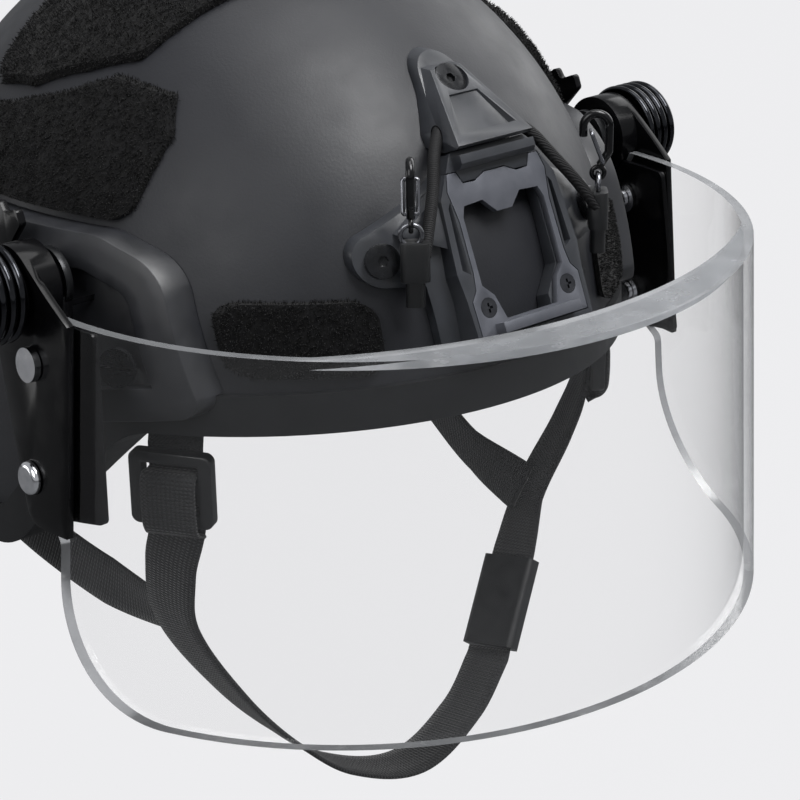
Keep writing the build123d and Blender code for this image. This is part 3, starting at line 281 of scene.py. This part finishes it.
finishes = {
    "shell": shellPaint(), "trim": trimRubber(), "loop": loopPile(),
    "rail": mouldedNylon("Moulded nylon rail", "#1e1f22", "#232428", 0.36, 0.48),
    "dark_metal": steel("Blackened screw steel", "#17181a", "#202124", 0.5, 0.2, 0.32),
    "shroud": mouldedNylon("Moulded nylon shroud", "#2b2d31", "#313338", 0.3, 0.42),
    "insert": anodised(),
    "screw_steel": steel("Plated crosshead screw", "#4a4b4f", "#5c5d61", 1.0, 0.16, 0.26),
    "cord": braidedCord(),
    "sleeve": mouldedNylon("Shrunk rubber sleeve", "#0f1011", "#141517", 0.36, 0.5),
    "hook_metal": steel("Gloss black hook wire", "#0a0a0c", "#101113", 0.3, 0.12, 0.2),
    "wire_steel": steel("Bright spring wire", "#6b6c70", "#838489", 1.0, 0.18, 0.28),
    "clear": clearSheet(), "arm": glossAbs(),
    "spring_steel": steel("Black chromed spring wire", "#2c2d30", "#3a3b3e", 1.0, 0.1, 0.18),
    "bright_steel": steel("Bright plated steel", "#d6d7da", "#ececef", 1.0, 0.1, 0.18),
    "pin_metal": steel("Blackened pin steel", "#17181a", "#202123", 0.6, 0.25, 0.38),
    "pad": padCloth(), "webbing": wovenNylon(),
    "hardware": mouldedNylon("Moulded acetal hardware", "#131416", "#18191b", 0.28, 0.42),
}
paintedEdgeHighlightFinish = paintedEdgeHighlight()
nodeSlots = {part["node"]: part["material_slot"] for part in frame["record"]["subparts"]}
for nodeName, nodeObject in nodes.items():
    nodeObject.data.materials.clear()
    # the visor springs are blacker than the other bright parts
    slot = "spring_steel" if nodeName.startswith("hinge_spring") else nodeSlots[nodeName]
    nodeObject.data.materials.append(finishes[slot])
# the sheet bends round this line in plan and runs straight back behind it
lensSettings = {"centreY": -63.5 * mm, "edgeCosine": 0.7}
lens = nodes["visor_lens"].data
# the edge faces get the pale painted highlight
lens.materials.append(paintedEdgeHighlightFinish)
for face in lens.polygons:
    outward = Vector((face.center.x, min(face.center.y - lensSettings["centreY"], 0), 0)).normalized()
    if abs(face.normal.dot(outward)) < lensSettings["edgeCosine"]:
        face.material_index = 1
print("finishes made:", len(finishes))


def selectOnly(piece):
    bpy.ops.object.select_all(action="DESELECT")
    piece.select_set(True)
    bpy.context.view_layer.objects.active = piece


def copyNode(nodeName, pieceName):
    # a welded copy of a CAD node, free to reshape
    piece = nodes[nodeName].copy()
    piece.data = nodes[nodeName].data.copy()
    piece.name = piece.data.name = pieceName
    bpy.context.scene.collection.objects.link(piece)
    selectOnly(piece)
    bpy.ops.object.mode_set(mode="EDIT")
    bpy.ops.mesh.select_all(action="SELECT")
    bpy.ops.mesh.remove_doubles(threshold=weldDistance)
    bpy.ops.object.mode_set(mode="OBJECT")
    return piece


def applyModifiers(piece):
    selectOnly(piece)
    for modifier in list(piece.modifiers):
        bpy.ops.object.modifier_apply(modifier=modifier.name)


# Loop panels: the sewn backing is a copy of the node, and three-sided fibres stand on it
napSettings = {"perSquareMm": 1.6, "height": 1.5 * mm, "lean": 0.9, "root": 0.16 * mm, "seed": 11,
               "shortest": 0.45, "straightest": 0.2, "waistHeight": 0.6, "waistLean": 0.25,
               "waistWidth": 0.8, "sunk": 0.1 * mm, "domeShape": (1.0, 1.37, 1.31),
               "thirds": (0, 2.094, 4.189)}  # of a turn, in radians
loopPanels = ["front_loop_right", "front_loop_left", "side_loop_right", "side_loop_left",
              "crown_loop", "rear_loop"]


def growNap(nodeName, pieceName, settings):
    backing = copyNode(nodeName, pieceName)
    mesh = backing.data
    mesh.calc_loop_triangles()
    corners = np.array([v.co for v in mesh.vertices])
    triangles = np.array([t.vertices[:] for t in mesh.loop_triangles])
    a, b, c = (corners[triangles[:, i]] for i in range(3))
    cross = np.cross(b - a, c - a)
    area = np.linalg.norm(cross, axis=1) / 2
    outward = cross / np.maximum(area[:, None] * 2, 1e-12)
    centre = (a + b + c) / 3
    facing = (outward * (centre / np.array(settings["domeShape"]) ** 2)).sum(1) > 0.0
    usable = np.where(facing & (area > 0))[0]
    random = np.random.default_rng(settings["seed"])
    count = int(area[usable].sum() * 1e6 * settings["perSquareMm"])
    chosen = random.choice(usable, count, p=area[usable] / area[usable].sum())
    first, second = np.sqrt(random.random(count)), random.random(count)
    foot = (a[chosen] * (1 - first)[:, None] + b[chosen] * (first * (1 - second))[:, None]
            + c[chosen] * (first * second)[:, None])
    normal = outward[chosen]
    side = np.cross(normal, random.normal(size=(count, 3)))
    side /= np.linalg.norm(side, axis=1)[:, None]
    other = np.cross(normal, side)
    height = settings["height"] * random.uniform(settings["shortest"], 1.0, count)[:, None]
    lean = settings["lean"] * random.uniform(settings["straightest"], 1.0, count)[:, None]
    tip = foot + normal * height + side * height * lean
    middle = foot + normal * height * settings["waistHeight"] + side * height * lean * settings["waistLean"]
    root = settings["root"] * random.uniform(0.7, 1.3, count)[:, None]
    ring = [foot - normal * settings["sunk"] + side * root * math.cos(t) + other * root * math.sin(t)
            for t in settings["thirds"]]
    waist = [middle + (side * math.cos(t) + other * math.sin(t)) * root * settings["waistWidth"]
             for t in settings["thirds"]]
    points = np.stack(ring + waist + [tip], axis=1).reshape(-1, 3)
    # each fibre has three corners at its foot, three at its waist and one at its tip
    pattern = [(0, 2, 1), (0, 1, 4), (0, 4, 3), (1, 2, 5), (1, 5, 4),
               (2, 0, 3), (2, 3, 5), (3, 4, 6), (4, 5, 6), (5, 3, 6)]
    base = np.arange(count)[:, None] * (len(ring) + len(waist) + 1)
    faces = np.concatenate([base + np.array(p) for p in pattern])
    nap = bpy.data.meshes.new(pieceName)
    nap.from_pydata(np.concatenate([corners, points]).tolist(), [],
                    triangles.tolist() + (faces + len(corners)).tolist())
    nap.materials.append(finishes["loop"])
    backing.data = nap
    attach(backing, "helmet")
    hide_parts(nodeName)
    return count


for panel in loopPanels:
    fibres = growNap(panel, panel + "_nap", napSettings)
    print("nap on", panel, fibres)


# Webbing: a smooth band through the same stations as the solids, width directions included
webbingSettings = {
    "width": 19.5 * mm, "thick": 1.6 * mm, "step": 2.5 * mm,
    # the section as shares of the half width and the half thickness, full at its two selvedges
    "section": [(-1, 0), (-0.94, -1), (-0.5, -0.9), (0, -0.86), (0.5, -0.9), (0.94, -1),
                (1, 0), (0.94, 1), (0.5, 0.9), (0, 0.86), (-0.5, 0.9), (-0.94, 1)],
}
frontStations = [
    ((-88.8, -72.4, 26.4), (0.5, -0.866, 0)), ((-90.4, -73.4, 11.6), (0.5, -0.866, 0)),
    ((-89.5, -71.1, 5), (0.5, -0.866, 0)), ((-89.4, -71.1, -9), (0.5, -0.866, 0)),
    ((-92.5, -74.4, -15.5), (0.53, -0.85, 0)), ((-92.5, -74.4, -40), (0.53, -0.85, 0)),
    ((-91.5, -66, -62), (0.4, -0.92, 0)), ((-83.5, -56.5, -90), (0.25, -0.97, 0)),
]
chinStations = [
    ((-66, -62, -121), (0.1, -0.99, 0)), ((-50, -70, -141), (0, -1, 0)), ((-30, -76, -158), (0, -1, 0)),
    ((0, -80, -167), (0, -1, 0)), ((30, -76, -158), (0, -1, 0)), ((47.7, -71.1, -144.1), (0.1, -0.99, 0)),
    ((50, -70, -141), (0.1, -0.99, 0)),
]
frontEnd = [((-72.8, -59.5, -109.9), (-0.1, -0.99, 0)), ((-70.5, -60.6, -113), (-0.1, -0.99, 0))]
rearStations = [
    ((-82.4, 82.3, 26.4), (-0.577, -0.816, 0)), ((-83.9, 83.4, 11.6), (-0.577, -0.816, 0)),
    ((-88.4, 74.3, -8), (-0.44, -0.74, 0.5)), ((-95.5, 60.6, -32), (-0.33, -0.74, 0.58)),
    ((-101, 45, -52), (-0.234, -0.744, 0.62)), ((-97, 26, -68.5), (0.1, -0.5, 0.86)),
    ((-93, 8, -77), (0.1, -0.3, 0.95)), ((-87, -20, -85.5), (0.1, -0.25, 0.95)),
    ((-81.6, -54.1, -89), (-0.47, 0.15, 0.87)),
]
napeStations = [
    ((-93.5, 59.2, -33), (0, 0, 1)), ((-84, 76, -31), (0, 0, 1)), ((-48, 114, -30), (0, 0, 1)),
    ((0, 125, -30), (0, 0, 1)), ((48, 114, -30), (0, 0, 1)), ((84, 76, -31), (0, 0, 1)),
    ((93.5, 59.2, -33), (0, 0, 1)),
]


def flipped(stations):
    return [((-x, y, z), (-a, b, c)) for (x, y, z), (a, b, c) in stations]


def smoothStations(stations, step):
    # a rounded line through the stations, with its width direction turning evenly
    points = [Vector(p) * mm for p, _ in stations]
    widths = [Vector(w).normalized() for _, w in stations]
    line, across = [], []
    for i in range(len(points) - 1):
        before, after = points[max(i - 1, 0)], points[min(i + 2, len(points) - 1)]
        start, end = points[i], points[i + 1]
        span = (end - start).length
        startPull = (end - before).normalized() * span
        endPull = (after - start).normalized() * span
        count = max(2, round(span / step))
        for k in range(count):
            t = k / count
            h = (2 * t**3 - 3 * t**2 + 1, t**3 - 2 * t**2 + t, -2 * t**3 + 3 * t**2, t**3 - t**2)
            line.append(start * h[0] + startPull * h[1] + end * h[2] + endPull * h[3])
            across.append(widths[i].lerp(widths[i + 1], t).normalized())
    line.append(points[-1])
    across.append(widths[-1])
    return line, across


def makeWebbing(pieceName, stations, nodeName, settings):
    line, across = smoothStations(stations, settings["step"])
    build = bmesh.new()
    mapLayer = build.loops.layers.uv.new("UVMap")
    section = settings["section"]
    half, deep = settings["width"] / 2, settings["thick"] / 2
    rows, run = [], [0.0]
    for i, point in enumerate(line):
        ahead = line[min(i + 1, len(line) - 1)] - line[max(i - 1, 0)]
        ahead.normalize()
        wide = across[i] - ahead * across[i].dot(ahead)
        wide.normalize()
        thin = wide.cross(ahead)
        if i:
            run.append(run[-1] + (point - line[i - 1]).length)
        rows.append([build.verts.new(point + wide * u * half + thin * v * deep) for u, v in section])
    for i in range(len(rows) - 1):
        for k in range(len(section)):
            following = (k + 1) % len(section)
            face = build.faces.new((rows[i][k], rows[i][following], rows[i + 1][following], rows[i + 1][k]))
            here, beside = section[k][0], section[following][0]
            marks = [(run[i], here), (run[i], beside), (run[i + 1], beside), (run[i + 1], here)]
            for loop, (u, v) in zip(face.loops, marks):
                loop[mapLayer].uv = (u, v * half)
    build.faces.new(list(reversed(rows[0])))
    build.faces.new(rows[-1])
    bmesh.ops.recalc_face_normals(build, faces=build.faces)
    mesh = bpy.data.meshes.new(pieceName)
    build.to_mesh(mesh)
    build.free()
    piece = bpy.data.objects.new(pieceName, mesh)
    bpy.context.scene.collection.objects.link(piece)
    mesh.materials.append(finishes["webbing"])
    for face in mesh.polygons:
        face.use_smooth = True
    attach(piece, "helmet")
    if nodeName:
        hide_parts(nodeName)
    return run[-1]


for pieceName, stations, nodeName in (
    ("webbing_front_right", frontStations + chinStations, "front_strap_right"),
    ("webbing_front_left", flipped(frontStations + frontEnd), "front_strap_left"),
    ("webbing_rear_right", rearStations, "rear_strap_right"),
    ("webbing_rear_left", flipped(rearStations), "rear_strap_left"),
    ("webbing_nape", napeStations, "nape_strap"),
):
    print(pieceName, round(makeWebbing(pieceName, stations, nodeName, webbingSettings), 3), "m")


# Bungee cords: the route of the solids, from inside the hood to the sleeve
cordSettings = {"radius": 2.0 * mm, "stepsAlong": 24, "stepsRound": 8, "measured": 40}
cordRoute = [(11, -114, 85), (19.5, -121, 82), (26, -128, 71), (32, -133, 62.5), (37.6, -136.9, 53)]


def roundedLength(points):
    # length of the quadratic spline through the middles of a route's runs, as a NURBS of order 3 draws it
    middles = [points[0]] + [(a + b) / 2 for a, b in zip(points[1:-2], points[2:-1])] + [points[-1]]
    total = 0.0
    for start, pull, end in zip(middles, points[1:-1], middles[1:]):
        steps = [start * (1 - t)**2 + pull * 2 * t * (1 - t) + end * t**2
                 for t in np.linspace(0, 1, cordSettings["measured"])]
        total += sum((b - a).length for a, b in zip(steps, steps[1:]))
    return total


def makeCord(pieceName, side, nodeName):
    points = [Vector((x * side, y, z)) * mm for x, y, z in cordRoute]
    line = bpy.data.curves.new(pieceName, "CURVE")
    line.dimensions = "3D"
    line.bevel_depth = cordSettings["radius"]
    line.resolution_u, line.bevel_resolution = cordSettings["stepsAlong"], cordSettings["stepsRound"]
    line.use_fill_caps = True
    spline = line.splines.new("NURBS")
    spline.points.add(len(points) - 1)
    for spot, place in zip(spline.points, points):
        spot.co = (*place, 1)
    spline.order_u = 3
    spline.use_endpoint_u = True
    cord = bpy.data.objects.new(pieceName, line)
    bpy.context.scene.collection.objects.link(cord)
    line.materials.append(finishes["cord"])
    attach(cord, "helmet")
    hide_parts(nodeName)
    length = roundedLength(points)
    return length


for cordSide, sideName in ((1, "left"), (-1, "right")):
    cordLength = makeCord("cord_" + sideName, cordSide, "bungee_cord_" + sideName)
    print("cord", sideName, round(cordLength, 4), "m")


# Shroud: the moulding with the sunk pocket in its hood roof, in millimetres in the plane of symmetry;
# each pocket corner is its place across, its place up the roof from the lip, and its depth
shroudSettings = {
    "lip": (-128.7, 82.6), "ridge": (-104.0, 101.5),
    "pocket": [(-11.3, 4.2, 2.4), (11.3, 4.2, 2.4), (6.0, 19.5, 0.9), (-6.0, 19.5, 0.9)],
    "above": 2.0, "flare": 1.06, "edge": 0.45 * mm, "edgeAngle": 35, "smoothAngle": 32,
}


def sinkPocket(settings):
    shroud = copyNode("shroud", "shroud_moulding")
    (lipY, lipZ), (ridgeY, ridgeZ) = settings["lip"], settings["ridge"]
    rise = Vector((0, ridgeY - lipY, ridgeZ - lipZ)).normalized()
    outward = Vector((0, -rise.z, rise.y))
    lip = Vector((0, lipY, lipZ))
    build = bmesh.new()
    low = [build.verts.new((lip + Vector((u, 0, 0)) + rise * v - outward * depth) * mm)
           for u, v, depth in settings["pocket"]]
    high = [build.verts.new((lip + Vector((u * settings["flare"], 0, 0)) + rise * v
                             + outward * settings["above"]) * mm)
            for u, v, depth in settings["pocket"]]
    build.faces.new(low)
    build.faces.new(list(reversed(high)))
    for k in range(len(low)):
        following = (k + 1) % len(low)
        build.faces.new((low[k], high[k], high[following], low[following]))
    bmesh.ops.recalc_face_normals(build, faces=build.faces)
    mesh = bpy.data.meshes.new("pocket_cutter")
    build.to_mesh(mesh)
    build.free()
    cutter = bpy.data.objects.new("pocket_cutter", mesh)
    bpy.context.scene.collection.objects.link(cutter)
    cut = shroud.modifiers.new("Pocket", "BOOLEAN")
    cut.operation, cut.solver, cut.object = "DIFFERENCE", "EXACT", cutter
    applyModifiers(shroud)
    bpy.data.objects.remove(cutter)
    soften = shroud.modifiers.new("Bevel", "BEVEL")
    soften.width, soften.segments = settings["edge"], 2
    soften.limit_method, soften.angle_limit = "ANGLE", math.radians(settings["edgeAngle"])
    applyModifiers(shroud)
    selectOnly(shroud)
    bpy.ops.object.shade_smooth_by_angle(angle=math.radians(settings["smoothAngle"]))
    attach(shroud, "helmet")
    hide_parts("shroud")
    return len(shroud.data.polygons)


print("shroud faces", sinkPocket(shroudSettings))

# The tail of each front strap comes through the ladder-lock's lower slot and folds down over it
foldSettings = {"at": (-93.6, -75.1), "out": (-0.848, -0.53), "across": (0.53, -0.848, 0),
                "run": [(-1.2, -22.6), (2.0, -22.9), (5.0, -22.2), (6.8, -24.6), (7.2, -31.0), (7.0, -37.5),
                        (6.4, -41.2), (4.6, -43.6), (2.0, -44.6), (-0.6, -46.0)]}
foldWebbing = dict(webbingSettings, step=0.8 * mm)


def foldStations(settings):
    (atX, atY), (outX, outY) = settings["at"], settings["out"]
    return [((atX + outX * out, atY + outY * out, z), settings["across"]) for out, z in settings["run"]]


makeWebbing("webbing_fold_right", foldStations(foldSettings), None, foldWebbing)
makeWebbing("webbing_fold_left", flipped(foldStations(foldSettings)), None, foldWebbing)
print("strap tails folded")

# Liner pads: foam under brushed cloth, puffed by a short cloth run
padSettings = {"voxel": 4.5 * mm, "start": 0.94, "pressure": 4.0, "frames": 16, "cap": 5 * mm,
               "fill": 0.8}
padNodes = ["crown_pad", "front_pad", "rear_pad", "fore_pad_right", "fore_pad_left",
            "aft_pad_right", "aft_pad_left"]


def puffPad(nodeName, settings):
    pad = copyNode(nodeName, nodeName + "_foam")
    centre = sum((v.co for v in pad.data.vertices), Vector()) / len(pad.data.vertices)
    for v in pad.data.vertices:
        v.co = centre + (v.co - centre) * settings["start"]
    remesh = pad.modifiers.new("Remesh", "REMESH")
    remesh.mode, remesh.voxel_size = "VOXEL", settings["voxel"]
    applyModifiers(pad)
    before = np.array([v.co for v in pad.data.vertices])
    cloth = pad.modifiers.new("Cloth", "CLOTH")
    cloth.settings.use_pressure = True
    cloth.settings.uniform_pressure_force = settings["pressure"]
    cloth.settings.effector_weights.gravity = 0
    for moment in range(1, settings["frames"] + 1):
        bpy.context.scene.frame_set(moment)
    puffed = pad.evaluated_get(bpy.context.evaluated_depsgraph_get()).data
    after = np.array([v.co for v in puffed.vertices])
    pad.modifiers.remove(cloth)
    bpy.context.scene.frame_set(1)
    move = after - before
    size = np.linalg.norm(move, axis=1)[:, None]
    after = before + move * np.minimum(1, settings["cap"] / np.maximum(size, 1e-9))
    low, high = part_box(nodeName)
    after = np.clip(after, np.array(low), np.array(high))
    for v, place in zip(pad.data.vertices, after):
        v.co = place
    soften = pad.modifiers.new("Subdivision", "SUBSURF")
    soften.levels = soften.render_levels = 1
    applyModifiers(pad)
    for face in pad.data.polygons:
        face.use_smooth = True
    pad.data.materials.clear()
    pad.data.materials.append(finishes["pad"])
    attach(pad, "helmet")
    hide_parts(nodeName)


for padName in padNodes:
    puffPad(padName, padSettings)
print("pads puffed:", len(padNodes))

# Smooth shading on the curved CAD pieces, and a small round on the edges that catch the light
edgeSettings = {
    "smoothAngle": 32, "edgeAngle": 40, "small": 0.4 * mm,
    "smallRound": ["visor_arm", "inner_arm", "rail_adapter", "release_lever", "spring_core", "hinge_pin"],
    "ownRound": {"bungee_sleeve": 0.9 * mm, "shroud_insert": 0.25 * mm, "shroud_screws": 0.5 * mm,
                  "adjuster": 0.6 * mm, "side_rail": 0.5 * mm},
}


def roundOf(nodeName, settings):
    # both sides' pieces are rounded alike; None leaves a piece as it is
    stem = nodeName.removesuffix("_right").removesuffix("_left")
    return settings["small"] if stem in settings["smallRound"] else settings["ownRound"].get(stem)


for nodeName, nodeObject in nodes.items():
    selectOnly(nodeObject)
    bpy.ops.object.shade_smooth_by_angle(angle=math.radians(edgeSettings["smoothAngle"]))
    edgeRound = roundOf(nodeName, edgeSettings)
    if edgeRound:
        weld = nodeObject.modifiers.new("Weld", "WELD")
        weld.merge_threshold = weldDistance
        bevel = nodeObject.modifiers.new("Bevel", "BEVEL")
        bevel.width, bevel.segments = edgeRound, 2
        bevel.limit_method, bevel.angle_limit = "ANGLE", math.radians(edgeSettings["edgeAngle"])
        bevel.harden_normals = False
bpy.ops.object.select_all(action="DESELECT")
print("edges rounded")

# Floor, lights, world and camera
stageSettings = {"floorZ": -0.24, "floorSize": 14.0, "floorColour": "#6f7072", "floorGlow": 0.97,
                 "backdrop": "#f0f0f2", "sky": "#dfe1e4", "skyLight": 0.12, "skyMirrored": 0.42}
bpy.ops.mesh.primitive_plane_add(size=stageSettings["floorSize"], location=(0, 0, stageSettings["floorZ"]))
floor = bpy.context.object
floor.name = "floor"
bpy.ops.object.transform_apply(location=True, rotation=True, scale=True)
floorPaint, floorTree, floorShader = newFinish("Pale studio floor", {
    "Base Color": hexLinear(stageSettings["floorColour"]), "Roughness": 0.9, "Specular IOR Level": 0.1})
path = addNode(floorTree, "ShaderNodeLightPath")
glow = addNode(floorTree, "ShaderNodeEmission",
               {"Color": hexLinear(stageSettings["backdrop"]), "Strength": 1.0})
seen = addNode(floorTree, "ShaderNodeMath", {"operation": "MAXIMUM"},
               {0: path.outputs["Is Camera Ray"], 1: path.outputs["Is Transmission Ray"]})
share = addNode(floorTree, "ShaderNodeMath", {"operation": "MULTIPLY", 1: stageSettings["floorGlow"]},
                {0: seen.outputs[0]})
floorMix = addNode(floorTree, "ShaderNodeMixShader", {},
                   {0: share.outputs[0], 1: floorShader.outputs["BSDF"], 2: glow.outputs["Emission"]})
floorTree.links.new(floorMix.outputs["Shader"], floorTree.nodes["Material Output"].inputs["Surface"])
floor.data.materials.append(floorPaint)

world = bpy.data.worlds.new("studio")
bpy.context.scene.world = world
world.use_nodes = True
sky = world.node_tree
backdrop = sky.nodes["Background"]
backdrop.inputs["Color"].default_value = hexLinear(stageSettings["sky"])
skyPath = addNode(sky, "ShaderNodeLightPath")
# the white studio shows in polished pieces, and fills the shadows only a little
skyShare = addNode(sky, "ShaderNodeMath", {"operation": "MULTIPLY_ADD", 1: stageSettings["skyMirrored"],
                                           2: stageSettings["skyLight"]},
                   {0: skyPath.outputs["Is Glossy Ray"]})
sky.links.new(skyShare.outputs[0], backdrop.inputs["Strength"])
skySeen = addNode(sky, "ShaderNodeMath", {"operation": "MAXIMUM"},
                  {0: skyPath.outputs["Is Camera Ray"], 1: skyPath.outputs["Is Transmission Ray"]})
skyWhite = addNode(sky, "ShaderNodeBackground",
                   {"Color": hexLinear(stageSettings["backdrop"]), "Strength": 1.0})
skyMix = addNode(sky, "ShaderNodeMixShader", {},
                 {0: skySeen.outputs[0], 1: backdrop.outputs[0], 2: skyWhite.outputs[0]})
sky.links.new(skyMix.outputs[0], sky.nodes["World Output"].inputs["Surface"])

lampSettings = {
    "overhead": {"at": (0.15, -0.1, 1.4), "aim": (0, -0.05, 0.05), "size": 1.0, "power": 9},
    "front": {"at": (0.2, -0.95, 1.55), "aim": (0, 0, 0.05), "size": 0.9, "power": 34},
    "right": {"at": (1.5, 0.1, 0.7), "aim": (0, 0, 0.05), "size": 1.4, "power": 12},
    "left": {"at": (-1.5, -0.5, 0.9), "aim": (-0.05, 0, 0), "size": 1.0, "power": 9},
    "bounce": {"at": (-0.95, 0.85, 0.05), "aim": (-0.1, -0.05, 0), "size": 0.5, "power": 2},
}
for lampName, lamp in lampSettings.items():
    aim = Vector(lamp["aim"]) - Vector(lamp["at"])
    bpy.ops.object.light_add(type="AREA", location=lamp["at"],
                             rotation=aim.to_track_quat("-Z", "Y").to_euler())
    light = bpy.context.object
    light.name = "lamp_" + lampName
    light.data.size, light.data.energy = lamp["size"], lamp["power"]

cameraSettings = {"at": (-0.49842, -0.6734, 0.29056), "azimuth": -39.97, "elevation": 21.98, "roll": -1.04,
                  "lens": 107.64, "sensor": 36.0, "nearest": 0.01, "farthest": 50.0}
turn, rise, roll = (math.radians(cameraSettings[k]) for k in ("azimuth", "elevation", "roll"))
backward = Vector((math.sin(turn) * math.cos(rise), -math.cos(turn) * math.cos(rise), math.sin(rise)))
level = Vector((math.cos(turn), math.sin(turn), 0))
upright = backward.cross(level)
rightward = level * math.cos(roll) + upright * math.sin(roll)
upward = upright * math.cos(roll) - level * math.sin(roll)
bpy.ops.object.camera_add()
camera = bpy.context.object
turned = Matrix((rightward, upward, backward)).transposed().to_4x4()
camera.matrix_world = Matrix.Translation(cameraSettings["at"]) @ turned
camera.data.lens, camera.data.sensor_width = cameraSettings["lens"], cameraSettings["sensor"]
camera.data.clip_start, camera.data.clip_end = cameraSettings["nearest"], cameraSettings["farthest"]
bpy.context.scene.camera = camera
bpy.context.scene.view_settings.view_transform = "Standard"
print("stage set")
